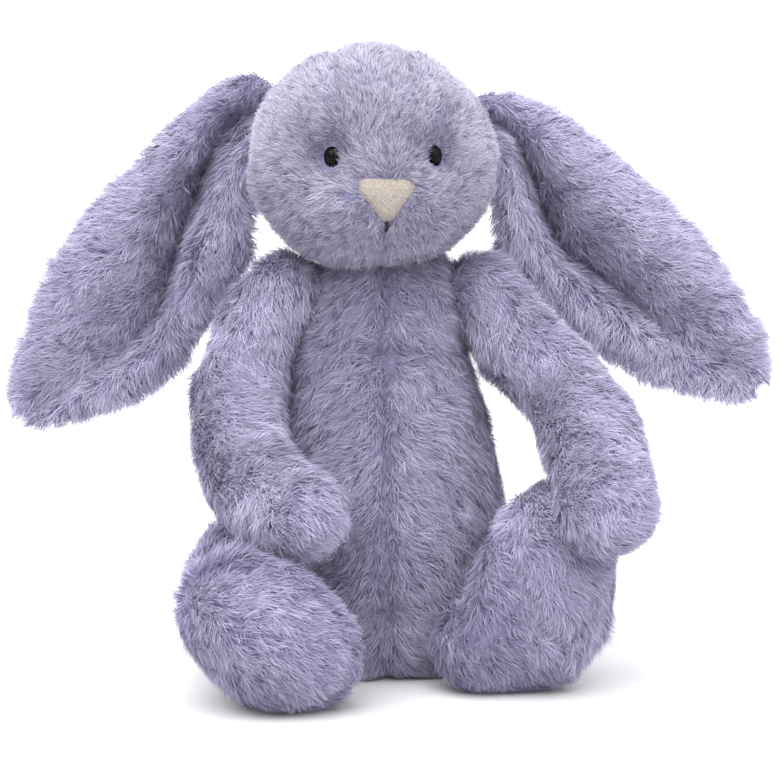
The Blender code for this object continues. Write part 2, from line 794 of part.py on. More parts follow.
# ---------------------------------------------------------------- tail and neck
def make_tail():
    def place(radius):
        return lambda d: TAIL_CENTRE + d * radius

    ball = shaped_ball(place(TAIL_RADIUS), TAIL_AROUND, TAIL_RINGS)
    hollow = shaped_ball(place(TAIL_RADIUS - CLOTH), TAIL_AROUND, TAIL_RINGS)
    opening = TAIL_CENTRE - Vector((0, TAIL_OPENING, 0))
    cover = carved(keep_side(ball, opening, Vector((0, 1, 0))), hollow)
    add_object("tail_cover", cover, PLUSH)
    core = shaped_ball(place(TAIL_RADIUS - CLOTH - FILL_GAP), TAIL_AROUND, TAIL_RINGS)
    add_object("tail_stuffing", keep_side(core, opening, Vector((0, 1, 0))), STUFFING)
    centre = opening - Vector((0, TAIL_RING_GAP, 0))
    thread_ring("tail_thread", centre, Vector((0, 1, 0)), TAIL_RING_RADIUS)


def make_neck():
    centre = Vector((TORSO_CENTRE.x, TORSO_CENTRE.y, NECK_RING_HEIGHT))
    thread_ring("neck_thread", centre, Vector((0, 0, 1)), NECK_RING_RADIUS, NECK_RING_AROUND)


make_torso()
make_head()
for ear_label in EAR_SIDES:
    make_ear(ear_label)
for arm_label in ARM_SIDES:
    make_arm(arm_label)
for leg_label in LEG_SIDES:
    make_leg(leg_label)
make_tail()
make_neck()
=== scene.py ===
"""Visual model of the stuffed bunny rabbit: sewn skins under a dense, clumped plush pile.

Lengths inside the surface functions are millimetres in the row frame; meshes are written in metres.
"""

import math

import bmesh
import bpy
import numpy as np
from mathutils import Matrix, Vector


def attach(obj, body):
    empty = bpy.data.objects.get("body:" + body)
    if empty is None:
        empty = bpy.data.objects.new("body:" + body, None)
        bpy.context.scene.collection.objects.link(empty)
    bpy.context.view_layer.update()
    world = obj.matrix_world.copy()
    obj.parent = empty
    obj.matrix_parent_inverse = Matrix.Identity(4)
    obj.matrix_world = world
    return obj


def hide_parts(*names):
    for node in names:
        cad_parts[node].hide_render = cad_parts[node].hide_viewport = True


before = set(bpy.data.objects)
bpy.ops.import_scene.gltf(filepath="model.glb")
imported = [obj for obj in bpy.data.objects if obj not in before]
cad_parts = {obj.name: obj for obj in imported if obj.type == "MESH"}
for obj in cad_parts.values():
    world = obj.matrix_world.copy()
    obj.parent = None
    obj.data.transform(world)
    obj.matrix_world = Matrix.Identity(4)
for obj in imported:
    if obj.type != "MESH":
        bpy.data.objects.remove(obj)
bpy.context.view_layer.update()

MM = 0.001
SEED = 20
rng = np.random.default_rng(SEED)
QUICK_SHARE = 1.0  # share of the pile that is made
PILE_UV = "OFBake"  # strand tint across, root to tip upwards

# ------------------------------------------------------------------ proportions (mm)
TORSO_CENTRE = np.array((-1.5, 2.0))
TORSO_ROWS = np.array(  # height, half width, half depth
    (
        (0.6, 0.0, 0.0),
        (0.6, 14.0, 12.5),
        (0.6, 27.0, 24.5),
        (2.6, 34.0, 31.0),
        (12.0, 38.3, 35.3),
        (28.0, 40.8, 38.3),
        (45.0, 41.3, 38.8),
        (66.0, 39.8, 37.3),
        (84.0, 36.8, 34.3),
        (100.0, 33.2, 30.8),
        (116.0, 29.6, 27.0),
        (130.0, 28.0, 24.5),
        (142.0, 24.5, 21.5),
        (152.0, 18.0, 17.0),
        (158.0, 8.0, 8.0),
        (159.0, 0.0, 0.0),
    )
)
SEAT_EDGE = 2.0  # the torso's seat is flat below this height
SEAM_FRONT = {"depth": 1.6, "half": 1.8}
SEAM_BACK = {"depth": 1.0, "half": 2.0}
CHEST_FOLD = {"height": 119.0, "sag": 0.006, "depth": 2.8, "half": 2.8, "reach": 12.0}
BELLY = {"height": 48.0, "half": 30.0, "swell": 1.6}
SWAY = {"height": 112.0, "half": 26.0, "shift": 2.0}  # the chest leans to the left
TORSO_DENTS = 0.6

HEAD_CENTRE = np.array((-6.8, -2.0, 186.3))
HEAD_RADII = np.array((41.6, 39.5, 38.5))
HEAD_TURN = math.radians(7.5)
HEAD_COS = math.cos(HEAD_TURN)
HEAD_SIN = math.sin(HEAD_TURN)
HEAD_DENTS = 0.5
CROWN_RISE = 2.2
GUSSET_HALF = 13.0  # half width of the strip that runs over the head to the nose
EYE_AZIMUTH = math.radians(28.1)
EYE_RISE = 0.12
EYE_HALF = {"level": 3.5, "upward": 4.3, "front": 3.6, "back": 2.4}
EYE_SUNK = 0.9
NOSE_Z = -10.3  # the nose's middle, from the head's
NOSE_CORNERS = ((0.0, -8.4), (11.6, 6.5), (-11.6, 6.5))
NOSE_SWELL = 1.9
NOSE_SUNK = 0.9
NOSE_THICK = 1.0
NOSE_SOFTENING = 8  # rounds of smoothing at its corners
MOUTH_TOP = NOSE_Z - 7.9
MOUTH_END = NOSE_Z - 11.7
MOUTH_PROUD = np.array((0.8, 2.0, 2.4, 2.5, 2.4, 2.0, 0.6))  # out of the face, from the top down
THREAD_RADIUS = 0.48

# Rows of a limb: the middle's x, y, z, then its radii along the reference direction and across it.
# Its cap is the length of the round end. Where forward is given, all its rows face that way.
ARMS = {
    "left": {
        "reference": (0.5, 0.8, -0.3),
        "cap": 14.0,
        "rows": (
            (-38.5, 0.0, 138.0, 13.5, 13.5),
            (-49.5, -4.0, 122.0, 14.0, 14.0),
            (-55.0, -12.0, 101.0, 14.6, 14.6),
            (-53.4, -27.0, 80.5, 15.0, 15.0),
            (-42.5, -46.0, 70.0, 14.5, 14.5),
            (-32.0, -58.0, 66.0, 14.5, 14.5),
        ),
    },
    "right": {
        "reference": (-0.5, 0.8, -0.3),
        "cap": 14.5,
        "rows": (
            (32.8, 0.0, 137.4, 13.0, 13.0),
            (45.3, -7.0, 121.0, 13.6, 13.6),
            (60.0, -17.0, 107.5, 14.0, 14.0),
            (69.0, -30.0, 94.5, 15.2, 15.2),
            (73.6, -47.0, 81.0, 15.8, 15.8),
            (74.2, -63.0, 69.0, 15.0, 15.0),
        ),
    },
}
LEGS = {
    "left": {
        "reference": (-0.82, 0.0, 0.57),
        "forward": (0.06, -1.0, 0.0),
        "cap": 22.0,
        "rows": (
            (-54.3, -13.0, 42.5, 13.8, 13.8),
            (-55.2, -28.0, 36.0, 17.0, 17.0),
            (-49.5, -43.0, 28.5, 19.0, 18.5),
            (-45.5, -58.0, 27.5, 26.5, 21.5),
            (-43.0, -72.0, 27.5, 32.5, 22.8),
        ),
    },
    "right": {
        "reference": (0.0, 0.0, 1.0),
        "forward": (0.85, -0.53, 0.0),
        "cap": 17.5,
        "rows": (
            (32.5, -43.5, 16.6, 15.4, 15.0),
            (38.5, -43.5, 27.0, 26.0, 18.0),
            (45.5, -43.5, 35.2, 33.8, 21.5),
            (58.0, -43.5, 40.0, 35.6, 23.6),
        ),
    },
}
# Rows of an ear: share of its length, reach above its axis, reach below it, depth of its fold.
# Its crease: share of its length, and place from -1 at the lower edge to 1 at the upper edge.
# Its lift is painted light: how much paler its pile is painted than the rest, standing in for light on
# it.
EARS = {
    "left": {
        "root": (-51.5, 15.0, 190.0),
        "tip": (-137.0, 24.0, 89.5),
        "painted_light_lift": 0.03,
        "rows": (
            (0.00, 28.0, 17.0, 9.0),
            (0.10, 27.5, 21.5, 14.0),
            (0.22, 27.0, 26.0, 18.0),
            (0.40, 29.0, 28.5, 18.0),
            (0.60, 27.0, 31.2, 9.0),
            (0.75, 21.5, 27.0, 5.0),
            (0.88, 14.5, 18.0, 3.0),
            (0.96, 8.5, 10.5, 2.0),
            (1.00, 3.0, 3.5, 1.0),
        ),
        "crease": ((0.05, 0.50), (0.29, 0.02), (0.50, -0.42), (0.70, -0.45), (1.0, -0.3)),
    },
    "right": {
        "root": (39.6, 15.0, 190.0),
        "tip": (136.8, 24.0, 100.5),
        "painted_light_lift": 0.12,
        "rows": (
            (0.00, 20.0, 24.0, 9.0),
            (0.10, 23.5, 32.0, 14.0),
            (0.22, 25.3, 30.0, 18.0),
            (0.40, 25.7, 29.5, 18.0),
            (0.60, 25.2, 30.2, 12.0),
            (0.75, 20.5, 25.0, 5.0),
            (0.88, 14.0, 16.5, 3.0),
            (0.96, 8.5, 10.5, 2.0),
            (1.00, 3.0, 3.5, 1.0),
        ),
        "crease": ((0.00, 0.45), (0.20, -0.20), (0.34, -0.42), (0.55, -0.32), (1.0, -0.2)),
    },
}
EAR_SUNK = 0.12  # share of an ear's length hidden in the head's pile
EAR_TIP_EASE = 1.6  # above 1, rows of the mesh gather at the tip
EAR_UPRIGHT = 0.24  # share over which the ear turns from upright at its seam to lying along its length
EAR_NECK = 0.02
EAR_HALF_THICK = 2.6
EAR_DENTS = 1.2
FLAP_STEP = 0.42  # share of the flap that climbs out of the crease
FLAP_SWELL = 3.0
CAP_ARC = 1.5  # a round cap's share of a limb's mesh, in radii
TANGENT_REACH = 0.02
LIMB_DENTS = 0.7
CLOTH_OVER_FLOOR = 0.7
SOLE_PLANE = -80.5  # y of the seam around the left foot's sole
SOLE_MIDDLE = np.array((-43.5, -79.5, 28.0))
SOLE_DEPTH = 2.2
INSTEP = {"x": 46.8, "z": 41.0, "slope": 0.49}  # the slanting seam on the right foot
INSTEP_DEPTH = 1.7
TAIL_CENTRE = np.array((-1.5, 52.0, 24.0))
TAIL_RADIUS = 15.0


# ------------------------------------------------------------------ vector helpers
def unit(v):
    return v / np.maximum(np.linalg.norm(v, axis=-1, keepdims=True), 1e-9)


def curve(rows, share):
    """Catmull-Rom through evenly spaced rows, at shares 0 to 1."""
    rows = np.asarray(rows, float)
    last = len(rows) - 1
    at = np.clip(share, 0, 1) * last
    k = np.minimum(at.astype(int), last - 1)
    t = (at - k)[:, None]
    p0 = rows[np.maximum(k - 1, 0)]
    p1 = rows[k]
    p2 = rows[k + 1]
    p3 = rows[np.minimum(k + 2, last)]
    quad = 2 * p0 - 5 * p1 + 4 * p2 - p3
    cube = 3 * p1 - p0 - 3 * p2 + p3
    return 0.5 * (2 * p1 + (p2 - p0) * t + quad * t**2 + cube * t**3)


WAVE_LENGTHS = (60.0, 34.0, 20.0, 11.0)
WAVES_PER_BAND = 7
WAVE_SUM = 3.2  # the sum of a band's waves seldom passes this
WAVES = []
for wave_length in WAVE_LENGTHS:
    for _ in range(WAVES_PER_BAND):
        WAVES.append((unit(rng.normal(size=3)) * 2 * math.pi / wave_length, rng.uniform(0, 6.28)))


def ripple(p, band, phase=0.0):
    """Smooth noise, mostly from -1 to 1; band 0 is the broadest and 3 the finest."""
    total = np.zeros(len(p))
    for vector, start in WAVES[band * WAVES_PER_BAND : (band + 1) * WAVES_PER_BAND]:
        total += np.sin(p @ vector + start + phase)
    return total / WAVE_SUM


def ripple_vector(p, band):
    return np.stack([ripple(p, band, 1.7 * k) for k in range(3)], axis=1)


def bump(distance, width):
    """1 at no distance, falling smoothly to about a third at the width."""
    return np.exp(-((distance / width) ** 2))


def ease(share):
    """Shares 0 to 1 with a soft start and stop."""
    share = np.clip(share, 0, 1)
    return share * share * (3 - 2 * share)


# ------------------------------------------------------------------ surfaces: (u, v) to points
def chest_crease(across, height):
    """1 on the short level crease across the upper chest, for places on the torso's front."""
    fold = CHEST_FOLD
    drop = height - fold["height"] - fold["sag"] * across**2
    return bump(drop, fold["half"]) * bump(across, fold["reach"])


def torso_surface(u, v):
    z, a, b = curve(TORSO_ROWS, u).T
    a = np.maximum(a, 0)
    b = np.maximum(b, 0)
    angle = 2 * math.pi * v
    x = np.sin(angle)
    y = -np.cos(angle)
    wall = np.where(z > SEAT_EDGE, 1.0, 0.0)
    groove = SEAM_FRONT["depth"] * bump(a * x, SEAM_FRONT["half"]) * (y < 0)
    groove += SEAM_BACK["depth"] * bump(a * x, SEAM_BACK["half"]) * (y > 0)
    fold = CHEST_FOLD["depth"] * chest_crease(a * x, z) * (y < 0)
    belly = BELLY["swell"] * bump(z - BELLY["height"], BELLY["half"]) * np.maximum(0, -y) ** 2
    out = (belly - groove - fold) * wall
    middle = TORSO_CENTRE[0] - SWAY["shift"] * bump(z - SWAY["height"], SWAY["half"])
    p = np.stack([middle + (a + out) * x, TORSO_CENTRE[1] + (b + out) * y, z], axis=1)
    dents = TORSO_DENTS * ripple(p, 1) * wall * np.minimum(1, a / 20)
    p[:, 0] += dents * x
    p[:, 1] += dents * y
    return p


def eye_direction(side):
    angle = side * EYE_AZIMUTH
    return unit(np.array((math.sin(angle), -math.cos(angle), EYE_RISE)))


def gusset_gap(p, side):
    """Distance from one long seam of the strip that runs over the head to the nose."""
    inward = 3.5 * np.clip((4 - p[:, 2]) / 10, 0, 1)
    return p[:, 0] - side * (GUSSET_HALF - inward)


def face_forms(side):
    """Swellings and hollows on one side of the face: direction, height in mm, half width in radians."""
    return (
        (unit(np.array((0.42 * side, -0.80, -0.40))), 3.0, 0.34),  # cheek
        (eye_direction(side), -4.6, 0.19),  # eye socket
        (unit(np.array((0.36 * side, -0.85, 0.40))), 1.6, 0.22),  # brow
        (unit(np.array((0.30 * side, -0.90, -0.22))), 2.2, 0.14),  # pad beside the nose
    )


def head_local(d):
    """The head's own surface for unit directions: cheeks, muzzle, eye sockets and seams."""
    p = d * HEAD_RADII
    # Fuller at the cheeks and temples, and higher at the crown.
    p[:, 0] *= 1.0 + 0.045 * bump(p[:, 2] + 12, 17) + 0.045 * bump(p[:, 2] - 28, 16)
    p[:, 2] += CROWN_RISE * np.clip((p[:, 2] - 12.0) / 24.0, 0, 1) ** 1.5
    muzzle = unit(np.array((0.0, -0.90, -0.42)))
    near = ease(1 - np.linalg.norm(d - muzzle, axis=1) / 0.84)
    p += muzzle * (5.0 * near)[:, None]
    for side in (-1, 1):
        for direction, height, half in face_forms(side):
            p += direction * (height * bump(np.linalg.norm(d - direction, axis=1), half))[:, None]
        seam = bump(gusset_gap(p, side), 1.6) * np.clip((p[:, 2] + 7) / 5, 0, 1)
        p -= d * (1.5 * seam)[:, None]
    chin = bump(p[:, 0], 1.5) * (d[:, 1] < 0) * np.clip((NOSE_Z - 5 - p[:, 2]) / 4, 0, 1)
    p -= d * (1.6 * chin)[:, None]
    return p


def head_place(p):
    """Turns the head's own points and sets them on the neck."""
    x = p[:, 0] * HEAD_COS - p[:, 1] * HEAD_SIN
    y = p[:, 0] * HEAD_SIN + p[:, 1] * HEAD_COS
    return np.stack([x, y, p[:, 2]], axis=1) + HEAD_CENTRE


def head_unplace(p):
    """The head's own x, y and z of points on the placed head."""
    q = p - HEAD_CENTRE
    x = q[:, 0] * HEAD_COS + q[:, 1] * HEAD_SIN
    y = q[:, 1] * HEAD_COS - q[:, 0] * HEAD_SIN
    return x, y, q[:, 2]


def sphere_direction(u, v):
    """Unit directions: u runs from the bottom to the top, and v around from the front."""
    polar = math.pi * np.clip(u, 0, 1)
    angle = 2 * math.pi * v
    return np.stack(
        [np.sin(polar) * np.sin(angle), -np.sin(polar) * np.cos(angle), -np.cos(polar)], axis=1
    )


def head_surface(u, v):
    p = head_place(head_local(sphere_direction(u, v)))
    p += unit(p - HEAD_CENTRE) * (HEAD_DENTS * ripple(p, 1))[:, None]
    return p


def tail_surface(u, v):
    return TAIL_CENTRE + sphere_direction(u, v) * TAIL_RADIUS


def limb_surface(spec):
    """A tube along a limb's rows, with a round cap at each end, flat where it meets the floor."""
    rows = np.asarray(spec["rows"], float)
    reference = np.asarray(spec["reference"], float)
    cap = spec["cap"]
    lengths = np.linalg.norm(np.diff(rows[:, :3], axis=0), axis=1).sum()
    root_arc = CAP_ARC * rows[0, 3]
    end_arc = CAP_ARC * cap
    root_share = root_arc / (root_arc + lengths + end_arc)
    end_share = end_arc / (root_arc + lengths + end_arc)

    def surface(u, v):
        along = np.clip((u - root_share) / (1 - root_share - end_share), 0, 1)
        at = curve(rows, along)
        if "forward" in spec:
            tangent = np.tile(unit(np.asarray(spec["forward"], float)), (len(u), 1))
        else:
            ahead = curve(rows, np.minimum(along + TANGENT_REACH, 1))[:, :3]
            behind = curve(rows, np.maximum(along - TANGENT_REACH, 0))[:, :3]
            tangent = unit(ahead - behind)
        first = unit(reference - tangent * (tangent @ reference)[:, None])
        second = np.cross(tangent, first)
        start = np.clip(u / root_share, 0, 1) * math.pi / 2
        stop = np.clip((1 - u) / end_share, 0, 1) * math.pi / 2
        in_root = u < root_share
        in_end = u > 1 - end_share
        shrink = np.where(in_root, np.sin(start), 1) * np.where(in_end, np.sin(stop), 1)
        push = np.where(in_end, np.cos(stop) * cap, 0) - np.where(in_root, np.cos(start) * at[:, 3], 0)
        angle = 2 * math.pi * v
        p = at[:, :3] + tangent * push[:, None]
        ring = first * (np.cos(angle) * at[:, 3])[:, None]
        ring = ring + second * (np.sin(angle) * at[:, 4])[:, None]
        p = p + ring * shrink[:, None]
        p = p + unit(ring) * (LIMB_DENTS * ripple(p, 1) * shrink)[:, None]
        p[:, 2] = np.maximum(p[:, 2], CLOTH_OVER_FLOOR)
        return p

    return surface


def instep_gap(p):
    """Distance from the right foot's slanting seam."""
    return p[:, 0] - (INSTEP["x"] + INSTEP["slope"] * (INSTEP["z"] - p[:, 2]))


def right_leg_surface(u, v):
    p = limb_surface(LEGS["right"])(u, v)
    front = np.clip((-50.0 - p[:, 1]) / 5.0, 0, 1)
    p[:, 1] += INSTEP_DEPTH * bump(instep_gap(p), 2.4) * front
    return p


def sole_gap(p):
    """Distance from the seam around the left foot's sole."""
    return p[:, 1] - SOLE_PLANE


def left_leg_surface(u, v):
    p = limb_surface(LEGS["left"])(u, v)
    inward = unit((SOLE_MIDDLE - p) * np.array((1.0, 0.0, 1.0)))
    return p + inward * (SOLE_DEPTH * bump(sole_gap(p), 2.0))[:, None]


def ear_frame(spec):
    """An ear's root, the vector from there to its tip, its direction, and the way to its upper edge."""
    root = np.asarray(spec["root"], float)
    along = np.asarray(spec["tip"], float) - root
    direction = unit(along)
    outward = math.copysign(1.0, direction[0])
    upper = unit(np.array((outward * -direction[2], 0.0, abs(direction[0]))))
    return root, along, direction, upper


def ear_surface(spec):
    """A long leaf: its outer blade falls back to the crease and its inner flap stands forward."""
    root, along, _, upper = ear_frame(spec)
    rows = np.asarray(spec["rows"], float)
    crease = np.asarray(spec["crease"], float)

    def surface(u, v):
        share = 1 - (1 - np.clip(u, 0, 1)) ** EAR_TIP_EASE
        share = share * (1 + EAR_SUNK) - EAR_SUNK
        inside = np.clip(share, 0, 1)
        neck = np.sqrt(np.clip((share + EAR_SUNK) / (EAR_SUNK + EAR_NECK), 0, 1))
        high, low, fold = (np.interp(inside, rows[:, 0], rows[:, k]) for k in (1, 2, 3))
        middle = np.interp(inside, crease[:, 0], crease[:, 1])
        angle = 2 * math.pi * v
        across = np.cos(angle)
        face = np.sin(angle)
        reach = np.where(across > 0, high, low) * across * neck
        lean = np.clip(share / EAR_UPRIGHT, 0, 1)[:, None]
        rise = unit(np.array((0, 0, 1.0)) * (1 - lean) + upper * lean)
        blade = np.clip((1 - across) / (1 - middle), 0, 1)
        flap = np.clip((middle - across) / (middle + 1), 0, 1)
        step = ease(flap / FLAP_STEP)
        edge = 0.45 * np.clip(1 - blade / 0.5, 0, 1) ** 2
        drop = np.clip((blade - 0.4) / 0.6, 0, 1) ** 2
        valley = np.where(across > middle, edge + drop, 1 - step)
        swell = FLAP_SWELL * np.sin(math.pi * flap) * (across < middle) * np.clip(fold / 12, 0, 1)
        thick = EAR_HALF_THICK * np.sign(face) * np.abs(face) ** 0.7
        p = root + along * share[:, None] + rise * reach[:, None]
        p[:, 1] += fold * valley - swell - thick
        p[:, 1] += EAR_DENTS * ripple(p * np.array((1, 0, 1)), 0)
        return p

    return surface


def ear_side(spec, p):
    """How far points lie above an ear's crease (mm), and their share of its length."""
    root, along, direction, upper = ear_frame(spec)
    rows = np.asarray(spec["rows"], float)
    crease = np.asarray(spec["crease"], float)
    share = ((p - root) @ direction) / np.linalg.norm(along)
    high = np.interp(share, rows[:, 0], rows[:, 1])
    low = np.interp(share, rows[:, 0], rows[:, 2])
    middle = np.interp(share, crease[:, 0], crease[:, 1])
    line = np.where(middle > 0, high, low) * middle
    return (p - root) @ upper - line, share


# ------------------------------------------------------------------ meshes
def build_mesh(name, points, faces):
    """A mesh from points in mm and an (n, 3) or (n, 4) array of corners."""
    mesh = bpy.data.meshes.new(name)
    corners = faces.shape[1]
    mesh.vertices.add(len(points))
    mesh.vertices.foreach_set("co", (points * MM).astype(np.float32).ravel())
    mesh.loops.add(faces.size)
    mesh.loops.foreach_set("vertex_index", faces.astype(np.int32).ravel())
    mesh.polygons.add(len(faces))
    starts = np.arange(0, faces.size, corners, dtype=np.int32)
    mesh.polygons.foreach_set("loop_start", starts)
    mesh.update(calc_edges=True)
    mesh.validate()
    mesh.polygons.foreach_set("use_smooth", np.full(len(mesh.polygons), True))
    obj = bpy.data.objects.new(name, mesh)
    bpy.context.scene.collection.objects.link(obj)
    return obj


def close_mesh(obj):
    """Joins equal points, fills the open ends and turns every face outwards."""
    bm = bmesh.new()
    bm.from_mesh(obj.data)
    bmesh.ops.remove_doubles(bm, verts=bm.verts, dist=1e-6)
    bmesh.ops.holes_fill(bm, edges=[e for e in bm.edges if e.is_boundary], sides=0)
    bmesh.ops.recalc_face_normals(bm, faces=bm.faces)
    for face in bm.faces:
        face.smooth = True
    bm.to_mesh(obj.data)
    bm.free()


def ring_faces(rows, columns):
    """Four-cornered faces over a grid of points whose columns close into rings."""
    grid = np.arange(rows * columns).reshape(rows, columns)
    right = np.roll(grid, -1, axis=1)
    return np.stack([grid[:-1], right[:-1], right[1:], grid[1:]], axis=-1).reshape(-1, 4)


def skin(name, surface, rows, columns):
    """The closed cloth under the pile."""
    u = np.linspace(0, 1, rows)
    v = np.arange(columns) / columns
    uu, vv = np.meshgrid(u, v, indexing="ij")
    points = surface(uu.ravel(), vv.ravel())
    obj = build_mesh(name, points, ring_faces(rows, columns))
    close_mesh(obj)
    return obj


# ------------------------------------------------------------------ pile
SLOPE_STEP = 1e-3  # change of u and v over which a surface's slopes are measured
LEAST_SLOPE = 2.0
AREA_TRIES = 40000
TRIES_PER_CLUMP = 8
AREA_TOP = 99.5  # percentile of the areas that counts as the largest
PILE_ENDS = (0.004, 0.996)  # the part of u that carries clumps
ROOT_ENDS = (0.003, 0.997)  # the part of u that carries strands
CLUMP_RIPPLE = {"tall": 0.20, "tilt": 0.22, "swirl": 0.45, "tint": 0.10}  # slow change over the cloth
CLUMP_SPREAD = {"tall": 0.14, "tilt": 0.10, "swirl": 0.34, "tint": 0.13}  # from clump to clump
STRAND_SPREAD = {"flow": 0.42, "tilt": 0.16, "rise": 0.12, "tint": 0.20}  # within a clump
STRAND_HEIGHTS = (0.72, 1.12)  # in heights of its clump
STRAND_WIDTHS = (0.75, 1.25)
STRAND_TURN = 0.6  # radians either way about its own line
STRAND_PULL = (0.15, 0.60)  # how far a strand's tip is drawn to its clump's
STRAND_SEGMENTS = 2
STRAND_POINTS = 2 * STRAND_SEGMENTS + 1
STRAND_SUNK = 0.5
STRAND_BEND = 0.45  # share of its height at which a strand bends over
STRAND_BEND_LEAN = 0.25
STRAND_TAPER = 0.55
STRAND_OVER_FLOOR = 0.5
MIDDLE_TINT = 0.5
UV_EDGE = 0.02


def frame_at(surface, u, v, outside):
    """Points, outward directions, areas and slopes of a surface."""
    p = surface(u, v)
    above = surface(np.minimum(u + SLOPE_STEP, 1), v)
    du = above - surface(np.maximum(u - SLOPE_STEP, 0), v)
    dv = surface(u, v + SLOPE_STEP) - surface(u, v - SLOPE_STEP)
    normal = np.cross(du, dv)
    area = np.linalg.norm(normal, axis=1)
    normal = unit(normal) * outside
    return p, normal, area, du / (2 * SLOPE_STEP), dv / (2 * SLOPE_STEP)


def facing(surface):
    """1 or -1: the sign that turns a surface's own normal outwards."""
    u = np.linspace(0.3, 0.7, 9).repeat(8)
    v = np.tile(np.arange(8) / 8, 9)
    p, normal, _, _, _ = frame_at(surface, u, v, 1.0)
    middle = surface(u, v + 0.5)
    return 1.0 if np.sum(normal * (p - middle)) > 0 else -1.0


def scatter(surface, outside, per_mm2, per_clump):
    """Evenly spread places (u, v) for clumps that hold per_mm2 strands on each square millimetre."""
    u = rng.uniform(*PILE_ENDS, AREA_TRIES)
    v = rng.uniform(0, 1, AREA_TRIES)
    _, _, area, _, _ = frame_at(surface, u, v, outside)
    total = area.mean() / (4 * SLOPE_STEP * SLOPE_STEP)
    wanted = int(total * per_mm2 / per_clump * QUICK_SHARE)
    top = np.percentile(area, AREA_TOP)
    u = rng.uniform(*PILE_ENDS, wanted * TRIES_PER_CLUMP)
    v = rng.uniform(0, 1, wanted * TRIES_PER_CLUMP)
    _, _, area, _, _ = frame_at(surface, u, v, outside)
    chosen = np.flatnonzero(rng.uniform(0, top, len(u)) < area)[:wanted]
    return u[chosen], v[chosen]


def along_cloth(v, n):
    """The direction of v within the cloth whose outward direction is n."""
    return unit(v - n * np.sum(v * n, axis=1, keepdims=True))


def lean_over(root, n, flow, tall, tilt):
    """Tips of hairs as long as tall that lean from n towards flow."""
    return root + tall[:, None] * (n * np.cos(tilt)[:, None] + flow * np.sin(tilt)[:, None])


def ribbon_points(root, tip, n, own_tall, own_flow, width):
    """Points of tapered ribbons that rise from their roots and bend over to their tips."""
    many = len(root)
    noise = rng.normal(0, STRAND_SPREAD["rise"], (many, 3))
    rise = unit(n + own_flow * STRAND_BEND_LEAN + noise)
    knee = root + rise * (own_tall * STRAND_BEND)[:, None]
    base = root - n * STRAND_SUNK
    turn = rng.uniform(-STRAND_TURN, STRAND_TURN, many)
    across = unit(np.cross(tip - root, n))
    upward = unit(np.cross(across, tip - root))
    across = unit(across * np.cos(turn)[:, None] + upward * np.sin(turn)[:, None])
    thick = width * rng.uniform(*STRAND_WIDTHS, many)
    points = np.zeros((many, STRAND_POINTS, 3), np.float32)
    for k, t in enumerate(np.linspace(0, 1, STRAND_SEGMENTS + 1)):
        centre = base * (1 - t) ** 2 + knee * (2 * t * (1 - t)) + tip * t**2
        centre[:, 2] = np.maximum(centre[:, 2], STRAND_OVER_FLOOR)
        if k == STRAND_SEGMENTS:
            points[:, 2 * k] = centre
        else:
            half = (thick * (1 - STRAND_TAPER * t) / 2)[:, None]
            points[:, 2 * k] = centre - across * half
            points[:, 2 * k + 1] = centre + across * half
    return points


def ribbon_faces(many):
    """Triangles of that many ribbons: two for each segment, and one at the tip."""
    first = (np.arange(many) * STRAND_POINTS)[:, None]
    pattern = []
    for k in range(STRAND_SEGMENTS - 1):
        pattern += [2 * k, 2 * k + 1, 2 * k + 3, 2 * k, 2 * k + 3, 2 * k + 2]
    pattern += [2 * STRAND_SEGMENTS - 2, 2 * STRAND_SEGMENTS - 1, 2 * STRAND_SEGMENTS]
    return (first + np.array(pattern)[None, :]).reshape(-1, 3)


def paint(obj, tint):
    """Writes each strand's tint and its height from root to tip into the pile's UVs."""
    steps = np.linspace(0, 1, STRAND_SEGMENTS + 1)
    height = np.repeat(steps, 2)[:STRAND_POINTS] * (1 - 2 * UV_EDGE) + UV_EDGE
    uv = np.stack([np.repeat(tint, STRAND_POINTS), np.tile(height, len(tint))], axis=1)
    layer = obj.data.uv_layers.new(name=PILE_UV)
    corner = np.empty(len(obj.data.loops), np.int32)
    obj.data.loops.foreach_get("vertex_index", corner)
    layer.data.foreach_set("uv", uv[corner].astype(np.float32).ravel())


